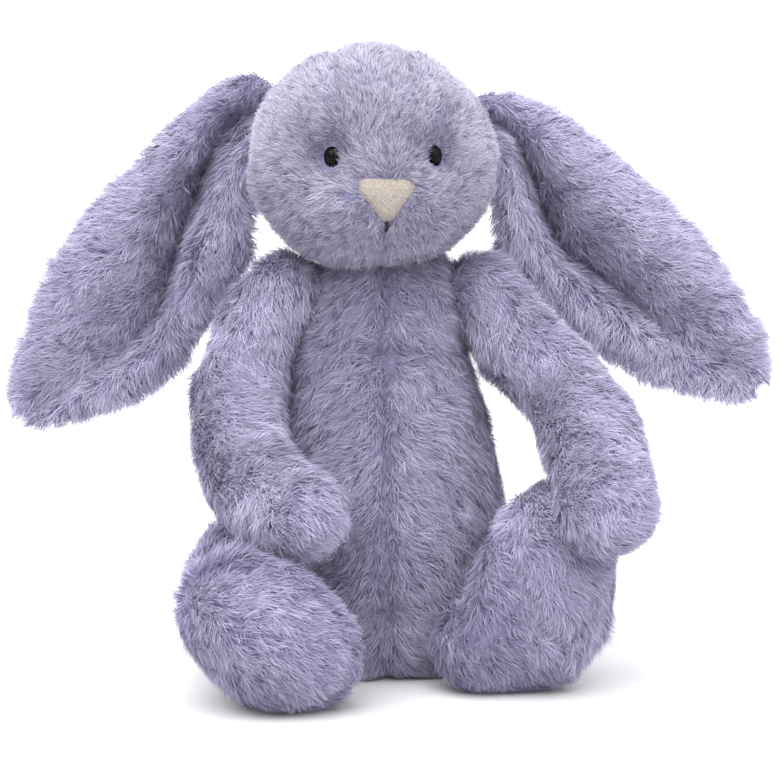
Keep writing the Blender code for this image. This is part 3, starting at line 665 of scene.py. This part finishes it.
def pile(
    name,
    surface,
    comb,
    length,
    lean,
    per_mm2,
    keep=None,
    coat=None,
    per_clump=8,
    spread=1.0,
    width=0.29,
    tone=None,
):
    """Strands of pile, in clumps, as tapered ribbons over a surface.

    comb, length, lean, keep and tone each take points and outward directions. comb gives the way the
    pile lies, length and lean its height and tilt, keep where it grows, and tone how much paler or
    darker it is painted, as painted light and shade.
    """
    outside = facing(surface)
    u, v = scatter(surface, outside, per_mm2, per_clump)
    p, n, _, du, dv = frame_at(surface, u, v, outside)
    if keep is not None:
        kept = keep(p, n)
        u, v, p, n, du, dv = (x[kept] for x in (u, v, p, n, du, dv))
    clumps = len(u)
    flow = along_cloth(comb(p, n), n)
    tall = 1 + CLUMP_RIPPLE["tall"] * ripple(p, 3) + rng.normal(0, CLUMP_SPREAD["tall"], clumps)
    tall = tall * length(p, n)
    tilt = lean(p, n) + CLUMP_RIPPLE["tilt"] * ripple(p, 2, 2.0)
    tilt += rng.normal(0, CLUMP_SPREAD["tilt"], clumps)
    swirl = rng.normal(0, CLUMP_SPREAD["swirl"], clumps) + CLUMP_RIPPLE["swirl"] * ripple(p, 2, 4.0)
    side = np.cross(n, flow)
    flow = unit(flow * np.cos(swirl)[:, None] + side * np.sin(swirl)[:, None])
    clump_tip = lean_over(p, n, flow, tall, tilt)

    owner = np.repeat(np.arange(clumps), per_clump)
    shift = rng.normal(0, spread, (len(owner), 2))
    shift_u = shift[:, 0] / np.maximum(np.linalg.norm(du, axis=1)[owner], LEAST_SLOPE)
    shift_v = shift[:, 1] / np.maximum(np.linalg.norm(dv, axis=1)[owner], LEAST_SLOPE)
    root_u = np.clip(u[owner] + shift_u, *ROOT_ENDS)
    root, hn, _, _, _ = frame_at(surface, root_u, v[owner] + shift_v, outside)
    if keep is not None:
        kept = keep(root, hn)
        root, hn, owner = root[kept], hn[kept], owner[kept]
    many = len(root)
    own_flow = unit(flow[owner] + rng.normal(0, STRAND_SPREAD["flow"], (many, 3)))
    own_flow = along_cloth(own_flow, hn)
    own_tall = tall[owner] * rng.uniform(*STRAND_HEIGHTS, many)
    own_tilt = tilt[owner] + rng.normal(0, STRAND_SPREAD["tilt"], many)
    own_tip = lean_over(root, hn, own_flow, own_tall, own_tilt)
    pull = rng.uniform(*STRAND_PULL, many)[:, None]
    tip = own_tip * (1 - pull) + clump_tip[owner] * pull
    points = ribbon_points(root, tip, hn, own_tall, own_flow, width)

    clump_tint = rng.normal(0, CLUMP_SPREAD["tint"], clumps)[owner]
    tint = MIDDLE_TINT + CLUMP_RIPPLE["tint"] * ripple(root, 1, 3.0) + clump_tint
    tint += rng.normal(0, STRAND_SPREAD["tint"], many)
    # Painted light and shade: tone makes parts of the pile paler or darker in place of light.
    if tone is not None:
        tint += tone(root, hn)
    obj = build_mesh(name, points.reshape(-1, 3), ribbon_faces(many))
    paint(obj, np.clip(tint, UV_EDGE, 1 - UV_EDGE))
    obj.data.materials.append(coat or PILE)
    return obj


# ------------------------------------------------------------------ materials
def new_material(name):
    """A node material, its tree and its shader."""
    material = bpy.data.materials.new(name)
    material.use_nodes = True
    return material, material.node_tree, material.node_tree.nodes["Principled BSDF"]


def ramp(tree, low, high, start=0.0, stop=1.0):
    """Colour that runs from low to high between two values."""
    node = tree.nodes.new("ShaderNodeValToRGB")
    node.color_ramp.elements[0].position = start
    node.color_ramp.elements[1].position = stop
    node.color_ramp.elements[0].color = (*low, 1)
    node.color_ramp.elements[1].color = (*high, 1)
    return node


def mottle(tree, shader, low, high, scale, detail=2.0, start=0.0, stop=1.0):
    """Base colour that wanders between two colours; returns the noise that drives it."""
    place = tree.nodes.new("ShaderNodeTexCoord")
    noise = tree.nodes.new("ShaderNodeTexNoise")
    noise.inputs["Scale"].default_value = scale
    noise.inputs["Detail"].default_value = detail
    tree.links.new(place.outputs["Object"], noise.inputs["Vector"])
    tone = ramp(tree, low, high, start, stop)
    tree.links.new(noise.outputs["Fac"], tone.inputs["Fac"])
    tree.links.new(tone.outputs["Color"], shader.inputs["Base Color"])
    return noise


def pile_material(name, low, high, root, sheen):
    """Strand colour: tint from strand to strand, darker towards the root."""
    material, tree, shader = new_material(name)
    uv = tree.nodes.new("ShaderNodeUVMap")
    uv.uv_map = PILE_UV
    split = tree.nodes.new("ShaderNodeSeparateXYZ")
    tree.links.new(uv.outputs["UV"], split.inputs[0])
    tint = ramp(tree, low, high)
    tree.links.new(split.outputs["X"], tint.inputs["Fac"])
    shade = ramp(tree, root, (1.0, 1.0, 1.0), stop=0.9)
    tree.links.new(split.outputs["Y"], shade.inputs["Fac"])
    mix = tree.nodes.new("ShaderNodeMix")
    mix.data_type = "RGBA"
    mix.blend_type = "MULTIPLY"
    mix.inputs["Factor"].default_value = 1.0
    tree.links.new(tint.outputs["Color"], mix.inputs["A"])
    tree.links.new(shade.outputs["Color"], mix.inputs["B"])
    tree.links.new(mix.outputs["Result"], shader.inputs["Base Color"])
    shader.inputs["Roughness"].default_value = 0.75
    shader.inputs["Specular IOR Level"].default_value = 0.2
    shader.inputs["Sheen Weight"].default_value = sheen
    shader.inputs["Sheen Roughness"].default_value = 0.45
    shader.inputs["Sheen Tint"].default_value = (0.9, 0.9, 1.0, 1)
    return material


def cloth_material(name, low, high, scale, depth, sheen, roughness=0.9):
    """Short woven or velour ground with mottled colour and a fine relief."""
    material, tree, shader = new_material(name)
    noise = mottle(tree, shader, low, high, scale, detail=6.0, start=0.3, stop=0.7)
    relief = tree.nodes.new("ShaderNodeBump")
    relief.inputs["Strength"].default_value = 0.6
    relief.inputs["Distance"].default_value = depth
    tree.links.new(noise.outputs["Fac"], relief.inputs["Height"])
    tree.links.new(relief.outputs["Normal"], shader.inputs["Normal"])
    shader.inputs["Roughness"].default_value = roughness
    shader.inputs["Specular IOR Level"].default_value = 0.2
    shader.inputs["Sheen Weight"].default_value = sheen
    return material


PILE = pile_material(
    "plush_pile",
    low=(0.20, 0.188, 0.315),
    high=(0.60, 0.585, 0.745),
    root=(0.50, 0.47, 0.59),
    sheen=0.30,
)
# A darker copy of the pile for the torso: painted shade from the head and arms.
TORSO_SHADED_PILE = pile_material(
    "plush_pile_body_shaded",
    low=(0.195, 0.183, 0.29),
    high=(0.55, 0.533, 0.675),
    root=(0.50, 0.47, 0.57),
    sheen=0.28,
)
HEAD_PILE = pile_material(
    "plush_pile_face",
    low=(0.225, 0.212, 0.30),
    high=(0.65, 0.635, 0.75),
    root=(0.50, 0.48, 0.56),
    sheen=0.32,
)
GROUND = cloth_material(
    "plush_ground", (0.14, 0.13, 0.23), (0.19, 0.18, 0.29), scale=900.0, depth=0.0004, sheen=0.1
)


# ------------------------------------------------------------------ combing: the way the pile lies
COMB_REACH = 43.0  # from the head's middle to the place in front of the nose that pile lies away from
COMB_CORNER = np.array((-76.0, -84.0, 40.0))  # the left sole's outer upper edge
COMB_STOPS = 30  # places along a limb where its direction is taken


def comb_head(p, n):
    """Away from the nose over the face, and straight down behind."""
    nose = HEAD_CENTRE + np.array((HEAD_SIN * COMB_REACH, -HEAD_COS * COMB_REACH, NOSE_Z))
    away = unit(p - nose)
    behind = np.clip((p[:, 1] + 8.0) / 18.0, 0, 1)[:, None]
    flow = away * (1 - behind) + np.array((0, 0.8, -1.0)) * behind
    return flow + np.array((0, 0, -0.10)) + 0.20 * ripple_vector(p, 2)


def comb_torso(p, n):
    """Down, and away from the middle seam."""
    gap = p[:, 0] - TORSO_CENTRE[0]
    apart = np.clip(gap / 5, -1, 1) * (0.35 + 0.9 * bump(gap, 22.0))
    down = np.zeros_like(p)
    down[:, 0] = apart
    down[:, 2] = -1.0
    return down + 0.4 * ripple_vector(p, 1) + 0.25 * ripple_vector(p, 2)


def comb_along(spec):
    """Down the limb, and across it where the limb points forward."""
    rows = np.asarray(spec["rows"], float)

    def comb(p, n):
        line = curve(rows, np.linspace(0, 1, COMB_STOPS))[:, :3]
        gap = np.linalg.norm(p[:, None, :] - line[None, :, :], axis=2)
        k = np.clip(gap.argmin(axis=1), 1, COMB_STOPS - 2)
        tangent = unit(line[k + 1] - line[k - 1])
        turn = np.cross(n, tangent) * (0.5 * ripple(p, 1, 1.0))[:, None]
        forward = np.clip(-tangent[:, 1] / 0.55, 0, 1)[:, None]
        level = tangent * (1 - forward) + np.array((1.0, 0.0, -0.1)) * forward
        return level + turn + np.array((0.0, 0.0, -0.5)) + 0.3 * ripple_vector(p, 2)

    return comb


def comb_ear(spec):
    """Towards the tip, and away from the crease."""
    _, _, direction, upper = ear_frame(spec)

    def comb(p, n):
        gap, _ = ear_side(spec, p)
        across = np.clip(gap / 7.0, -1, 1)
        return direction + upper * (0.95 * across)[:, None] + 0.25 * ripple_vector(p, 1)

    return comb


def comb_left_foot(p, n):
    """Away from the sole's outer upper edge."""
    away = unit(p - COMB_CORNER)
    return away + np.array((0.4, 0, -0.4)) + 0.5 * ripple_vector(p, 1)


def comb_right_foot(p, n):
    """Down and outwards, gathering on a slanting ridge over the instep."""
    gap = instep_gap(p)
    flow = np.zeros_like(p)
    flow[:, 0] = 0.55 - 1.5 * gap / 6.0 * bump(gap, 7.0)
    flow[:, 2] = -0.8
    return flow + 0.35 * ripple_vector(p, 1)


def comb_tail(p, n):
    """Down, in loose curls."""
    return np.array((0, 0, -1.0)) + 0.8 * ripple_vector(p, 2)


# ------------------------------------------------------------------ length, lean and painted light and shade of the pile
LOWEST_PILE = 1.6


def constant(value):
    return lambda p, n: np.full(len(p), value)


def left_leg_length(p, n):
    return 6.3 - 2.6 * bump(sole_gap(p), 1.8)


def right_leg_length(p, n):
    return 6.5 - 1.6 * bump(instep_gap(p), 2.2) * (p[:, 1] < -50)


# Painted shade: the left leg's pile darker all over, and darker still along the sole's seam.
def left_leg_painted_shade(p, n):
    return -0.14 - 0.30 * bump(sole_gap(p), 2.0)


# Painted shade: the right leg's pile darker all over, and darker on the inner side of the instep seam.
def right_leg_painted_shade(p, n):
    inner = np.clip(-instep_gap(p) / 10.0, 0, 1)
    return -0.10 - 0.14 * inner


def ear_depth(gap, share, n, width):
    """1 at the bottom of an ear's crease, on its front, fading out before the tip."""
    return bump(gap, width) * (n[:, 1] < 0) * np.clip((0.68 - share) / 0.12, 0, 1)


def ear_length(spec):
    def length(p, n):
        gap, share = ear_side(spec, p)
        return 6.4 - 2.8 * ear_depth(gap, share, n, 4.0)

    return length


# Painted light and shade on an ear: paler by its lift and towards its upper edge on the front, painted
# shade along its crease.
def ear_painted_light_and_shade(spec):
    def tone(p, n):
        gap, share = ear_side(spec, p)
        rim = np.clip(gap / 24.0, 0, 1) * (n[:, 1] < 0)
        return spec["painted_light_lift"] - 0.30 * ear_depth(gap, share, n, 5.0) + 0.10 * rim

    return tone


def torso_length(p, n):
    gap = p[:, 0] - TORSO_CENTRE[0]
    short = np.maximum(2.4 * bump(gap, 2.5), 2.2 * chest_crease(gap, p[:, 2]))
    return 6.3 - short * (n[:, 1] < 0)


def torso_painted_shade(p, n):
    """Painted shade: darker on the front, in the seam and the chest's crease, and on the left, where
    the arm shades it.
    """
    gap = p[:, 0] - TORSO_CENTRE[0]
    shaded = np.clip((-gap + 6) / 16, 0, 1) * np.clip((p[:, 2] - 30) / 30, 0, 1)
    front = n[:, 1] < 0
    fold = chest_crease(gap, p[:, 2]) * front
    return -0.10 * front - 0.16 * shaded * front - 0.25 * bump(gap, 2.2) - 0.30 * fold


EYES = []
for side in (-1, 1):
    EYES.append(head_place(head_local(eye_direction(side)[None, :]))[0])
NOSE_AT = head_place(head_local(unit(np.array([[0.0, -0.94, -0.34]]))))[0]
EYE_CLEAR = np.array((3.7, 4.6, 4.8))  # half sizes of the space that is trimmed for an eye
EYE_CLEAR_SHIFT = 0.9  # towards the nose
# Trimmed for the nose: a triangle from its point, below its middle, up to its full width.
NOSE_CLEAR = {"half": 9.6, "point": -7.0, "rise": 12.5, "reach": 5.6}
MOUTH_CLEAR = {"half": 0.7, "top": -5.0, "end": -12.5}


def gusset_depth(q, width):
    """1 on the two long seams of the strip over the head, for points measured from its middle."""
    return bump(gusset_gap(q, 1), width) + bump(gusset_gap(q, -1), width)


def head_length(p, n):
    """Short on the crown, around the eyes and the nose, and in the seams."""
    gap = np.min([np.linalg.norm(p - eye, axis=1) for eye in EYES], axis=0)
    nose = np.linalg.norm(p - NOSE_AT, axis=1)
    q = p - HEAD_CENTRE
    seam = gusset_depth(q, 1.5) * (q[:, 1] < 0) * (q[:, 2] > NOSE_Z + 5)
    top = np.clip((q[:, 2] - 5) / 25, 0, 1)
    return 4.6 - 1.2 * top - 1.9 * bump(gap, 7.0) - 2.0 * bump(nose, 12.0) - 1.9 * seam


def head_lean(p, n):
    nose = np.linalg.norm(p - NOSE_AT, axis=1)
    return 1.02 + 0.15 * bump(nose, 16.0)


def head_painted_light_and_shade(p, n):
    """Painted shade around the eyes, under the cheeks, on the bridge and in the seams, and painted
    light on the crown.
    """
    eyes = sum(bump(np.linalg.norm(p - eye, axis=1), 6.8) for eye in EYES)
    q = p - HEAD_CENTRE
    crown = np.clip((q[:, 2] - 6) / 26, 0, 1) * (q[:, 1] < 10)
    cheeks = np.clip((4 - q[:, 2]) / 18, 0, 1)
    seam = gusset_depth(q, 1.8) * (q[:, 1] < 0)
    seam = seam * np.clip((q[:, 2] - 2) / 8, 0, 1) * np.clip((30 - q[:, 2]) / 8, 0, 1)
    bridge = bump(np.linalg.norm(p - NOSE_AT - np.array((0.0, 0.0, 9.0)), axis=1), 9.0)
    return 0.08 * crown - 0.28 * cheeks - 0.80 * eyes - 0.22 * seam - 0.22 * bridge


def clear_of_face(p, n):
    """False where pile is trimmed away: over the eyes, under the nose patch and along the mouth."""
    free = np.ones(len(p), bool)
    for eye in EYES:
        centre = eye + unit(NOSE_AT - eye) * EYE_CLEAR_SHIFT
        free &= np.linalg.norm((p - centre) / EYE_CLEAR, axis=1) > 1
    x, y, height = head_unplace(p)
    z = height - NOSE_Z
    half = NOSE_CLEAR["half"] * np.clip((z - NOSE_CLEAR["point"]) / NOSE_CLEAR["rise"], 0, 1)
    free &= ~((np.abs(x) < half) & (np.abs(z) < NOSE_CLEAR["reach"]) & (y < 0))
    slot = (z < MOUTH_CLEAR["top"]) & (z > MOUTH_CLEAR["end"])
    free &= ~((np.abs(x) < MOUTH_CLEAR["half"]) & slot & (y < 0))
    return free


def above_floor(p, n):
    return p[:, 2] > LOWEST_PILE


# ------------------------------------------------------------------ the toy
DENSITY = 4.0  # strands on each square millimetre
LEAN = 1.12  # how far strands lie over, in radians


def dress(name, body, surface, grid, nodes, parts=1, per_mm2=DENSITY, **coat):
    """A cloth skin and its pile, both on one body, in place of the CAD nodes."""
    cloth = skin(f"{name}_cloth", surface, *grid)
    cloth.data.materials.append(GROUND)
    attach(cloth, body)
    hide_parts(*nodes)
    for k in range(parts):
        hair = pile(f"{name}_pile_{k + 1}", surface, per_mm2=per_mm2 / parts, **coat)
        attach(hair, body)


TORSO_NODES = (
    "body_front_left_panel",
    "body_front_right_panel",
    "body_back_left_panel",
    "body_back_right_panel",
    "body_base_panel",
    "body_stuffing",
    "pellet_bag",
    "neck_thread",
    "arm_thread_left",
    "arm_thread_right",
    "leg_thread_left",
    "leg_thread_right",
    "tail_thread",
)
HEAD_NODES = (
    "head_left_panel",
    "head_right_panel",
    "head_gusset",
    "head_stuffing",
    "eye_washer_left",
    "eye_washer_right",
    "ear_thread_left",
    "ear_thread_right",
)

dress(
    "torso",
    "torso",
    torso_surface,
    (90, 128),
    TORSO_NODES,
    parts=3,
    comb=comb_torso,
    length=torso_length,
    lean=constant(LEAN),
    keep=above_floor,
    tone=torso_painted_shade,
    coat=TORSO_SHADED_PILE,
)
dress(
    "head",
    "head",
    head_surface,
    (120, 180),
    HEAD_NODES,
    parts=2,
    per_mm2=5.2,
    comb=comb_head,
    length=head_length,
    lean=head_lean,
    keep=clear_of_face,
    tone=head_painted_light_and_shade,
    coat=HEAD_PILE,
    spread=0.9,
    width=0.25,
)
dress(
    "tail",
    "torso",
    tail_surface,
    (24, 32),
    ("tail_cover", "tail_stuffing"),
    per_mm2=3.4,
    comb=comb_tail,
    length=constant(8.5),
    lean=constant(0.55),
)
LEG_LOOKS = {
    "left": {
        "surface": left_leg_surface,
        "comb": comb_left_foot,
        "length": left_leg_length,
        "tone": left_leg_painted_shade,
    },
    "right": {
        "surface": right_leg_surface,
        "comb": comb_right_foot,
        "length": right_leg_length,
        "tone": right_leg_painted_shade,
    },
}
for label in ("left", "right"):
    ear = EARS[label]
    dress(
        f"ear_{label}",
        f"ear_{label}",
        ear_surface(ear),
        (64, 72),
        (f"ear_{label}_front_panel", f"ear_{label}_back_panel"),
        parts=2,
        comb=comb_ear(ear),
        length=ear_length(ear),
        lean=constant(1.08),
        tone=ear_painted_light_and_shade(ear),
    )
    arm = ARMS[label]
    dress(
        f"arm_{label}",
        f"arm_{label}",
        limb_surface(arm),
        (64, 48),
        (f"arm_{label}_outer_panel", f"arm_{label}_inner_panel", f"arm_{label}_stuffing"),
        comb=comb_along(arm),
        length=constant(6.5),
        lean=constant(LEAN),
    )
    leg = LEG_LOOKS[label]
    dress(
        f"leg_{label}",
        f"leg_{label}",
        grid=(96, 64),
        nodes=(
            f"leg_{label}_outer_panel",
            f"leg_{label}_inner_panel",
            f"foot_{label}_sole_panel",
            f"leg_{label}_stuffing",
        ),
        lean=constant(LEAN),
        keep=above_floor,
        **leg,
    )


# ------------------------------------------------------------------ eyes, nose and mouth
FIT_STEPS = 40
FIT_PULL = 0.8  # share of the miss that each step corrects


def head_front(x, z):
    """The head's own points, on its face, whose own x and z are the given ones."""
    d = np.stack([x / HEAD_RADII[0], np.zeros(len(x)), z / HEAD_RADII[2]], axis=1)
    for _ in range(FIT_STEPS):
        flat = np.minimum(d[:, 0] ** 2 + d[:, 2] ** 2, 0.98)
        d[:, 1] = -np.sqrt(1 - flat)
        p = head_local(d)
        d[:, 0] += FIT_PULL * (x - p[:, 0]) / HEAD_RADII[0]
        d[:, 2] += FIT_PULL * (z - p[:, 2]) / HEAD_RADII[2]
    return p


def nose_radius(angle):
    """Distance from the nose's middle to the sides of its triangle."""
    best = np.full(len(angle), 1e9)
    for k in range(3):
        a = np.array(NOSE_CORNERS[k])
        b = np.array(NOSE_CORNERS[(k + 1) % 3])
        edge = b - a
        normal = np.array((edge[1], -edge[0])) / np.linalg.norm(edge)
        towards = normal[0] * np.cos(angle) + normal[1] * np.sin(angle)
        reach = np.where(towards > 0.05, (normal @ a) / np.maximum(towards, 0.05), 1e9)
        best = np.where(reach > 0, np.minimum(best, reach), best)
    return best


def make_nose():
    """A crowned velour patch: wide and flat on top, with soft corners and a point below."""
    rings = 16
    around = 72
    angle = 2 * math.pi * np.arange(around) / around
    soft = nose_radius(angle)
    for _ in range(NOSE_SOFTENING):
        soft = (np.roll(soft, 1) + soft * 2 + np.roll(soft, -1)) / 4
    points = []
    for t in np.arange(rings + 1) / rings:
        p = head_front(soft * t * np.cos(angle), soft * t * np.sin(angle) + NOSE_Z)
        p[:, 1] -= NOSE_SWELL * (1 - t**4) ** 0.5 - NOSE_SUNK
        points.append(p)
    points = head_place(np.concatenate(points))
    obj = build_mesh("nose", points, ring_faces(rings + 1, around))
    solid = obj.modifiers.new("cloth", "SOLIDIFY")
    solid.thickness = NOSE_THICK * MM
    solid.offset = -1
    velour = cloth_material(
        "nose_velour", (0.20, 0.172, 0.15), (0.36, 0.318, 0.285), scale=1500.0, depth=0.0007, sheen=0.2
    )
    obj.data.materials.append(velour)
    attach(obj, "head")
    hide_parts("nose_patch")


def eye_material():
    material, tree, shader = new_material("eye_gloss")
    mottle(tree, shader, (0.0015, 0.0015, 0.002), (0.004, 0.004, 0.005), 300.0)
    shader.inputs["Roughness"].default_value = 0.09
    shader.inputs["Specular IOR Level"].default_value = 0.10
    return material


def eye_points(at, rings, around):
    """An upright oval dome, deeper in front than behind, sunk a little into its socket."""
    out = unit(at - HEAD_CENTRE)
    level = unit(np.cross(out, np.array((0.0, 0.0, 1.0))))
    upward = np.cross(level, out)
    polar = np.linspace(0, math.pi, rings + 2)[1:-1]
    angle = 2 * math.pi * np.arange(around) / around
    ring = np.sin(polar)[:, None]
    deep = np.where(polar < math.pi / 2, EYE_HALF["front"], EYE_HALF["back"])
    depth = np.cos(polar)[:, None] * deep[:, None]
    points = (
        (ring * np.cos(angle))[..., None] * level * EYE_HALF["level"]
        + (ring * np.sin(angle))[..., None] * upward * EYE_HALF["upward"]
        + (depth + 0 * angle)[..., None] * out
    )
    return points.reshape(-1, 3) + at - out * EYE_SUNK


def make_eyes():
    gloss = eye_material()
    rings = 23
    around = 48
    for label, at in zip(("left", "right"), EYES):
        points = eye_points(at, rings, around)
        eye = build_mesh(f"eye_{label}_dome", points, ring_faces(rings, around))
        close_mesh(eye)
        eye.data.materials.append(gloss)
        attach(eye, "head")
        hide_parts(f"eye_{label}")


def make_mouth():
    """One straight stitch below the nose."""
    count = len(MOUTH_PROUD)
    p = head_front(np.zeros(count), np.linspace(MOUTH_TOP, MOUTH_END, count))
    p[:, 1] -= MOUTH_PROUD
    p = head_place(p)
    thread = bpy.data.curves.new("mouth", "CURVE")
    thread.dimensions = "3D"
    thread.bevel_depth = THREAD_RADIUS * MM
    thread.bevel_resolution = 4
    thread.use_fill_caps = True
    spline = thread.splines.new("NURBS")
    spline.points.add(len(p) - 1)
    for point, at in zip(spline.points, p):
        point.co = (*(at * MM), 1)
    spline.use_endpoint_u = True
    obj = bpy.data.objects.new("mouth", thread)
    bpy.context.scene.collection.objects.link(obj)
    dark = cloth_material(
        "mouth_thread",
        (0.006, 0.005, 0.009),
        (0.022, 0.02, 0.03),
        scale=2500.0,
        depth=0.0002,
        sheen=0.0,
        roughness=0.7,
    )
    thread.materials.append(dark)
    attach(obj, "head")
    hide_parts("mouth_stitch")


make_nose()
make_eyes()
make_mouth()


# ------------------------------------------------------------------ studio (metres)
FLOOR_SIZE = 12.0
CAMERA_ELEVATION = math.radians(8.6)
CAMERA_DISTANCE = 1.2
CAMERA_TARGET = Vector((-0.0002, 0.0, 0.1018))
SENSOR = 36.0
VIEW_WIDTH = 0.2860  # what the camera sees across at its target


def make_floor():
    bpy.ops.mesh.primitive_plane_add(size=FLOOR_SIZE)
    floor = bpy.context.object
    floor.name = "studio_floor"
    material, tree, shader = new_material("pale_floor")
    mottle(tree, shader, (0.62, 0.625, 0.635), (0.64, 0.645, 0.65), 3.0)
    shader.inputs["Roughness"].default_value = 0.85
    floor.data.materials.append(material)


def make_sun(name, place, power, spread):
    light = bpy.data.lights.new(name, "SUN")
    light.energy = power
    light.angle = math.radians(spread)
    obj = bpy.data.objects.new(name, light)
    obj.location = place
    obj.rotation_euler = (-Vector(place)).to_track_quat("-Z", "Y").to_euler()
    bpy.context.scene.collection.objects.link(obj)


def make_camera():
    data = bpy.data.cameras.new("camera")
    data.sensor_width = SENSOR
    data.lens = SENSOR * CAMERA_DISTANCE / VIEW_WIDTH
    camera = bpy.data.objects.new("camera", data)
    back = Vector((0, -math.cos(CAMERA_ELEVATION), math.sin(CAMERA_ELEVATION)))
    camera.location = CAMERA_TARGET + back * CAMERA_DISTANCE
    camera.rotation_euler = (-back).to_track_quat("-Z", "Y").to_euler()
    bpy.context.scene.collection.objects.link(camera)
    bpy.context.scene.camera = camera


def make_world():
    world = bpy.data.worlds.new("studio")
    world.use_nodes = True
    background = world.node_tree.nodes["Background"]
    background.inputs["Color"].default_value = (1, 1, 1, 1)
    background.inputs["Strength"].default_value = 1.0
    bpy.context.scene.world = world
    bpy.context.scene.view_settings.view_transform = "Standard"
    bpy.context.scene.view_settings.look = "None"
    bpy.context.scene.view_settings.exposure = 0.0


make_floor()
make_sun("key", (-0.45, -0.70, 1.4), power=4.1, spread=70.0)
make_sun("fill", (0.9, -0.9, 0.8), power=1.4, spread=60.0)
make_sun("back", (0.3, 1.1, 0.9), power=1.0, spread=90.0)
make_camera()
make_world()
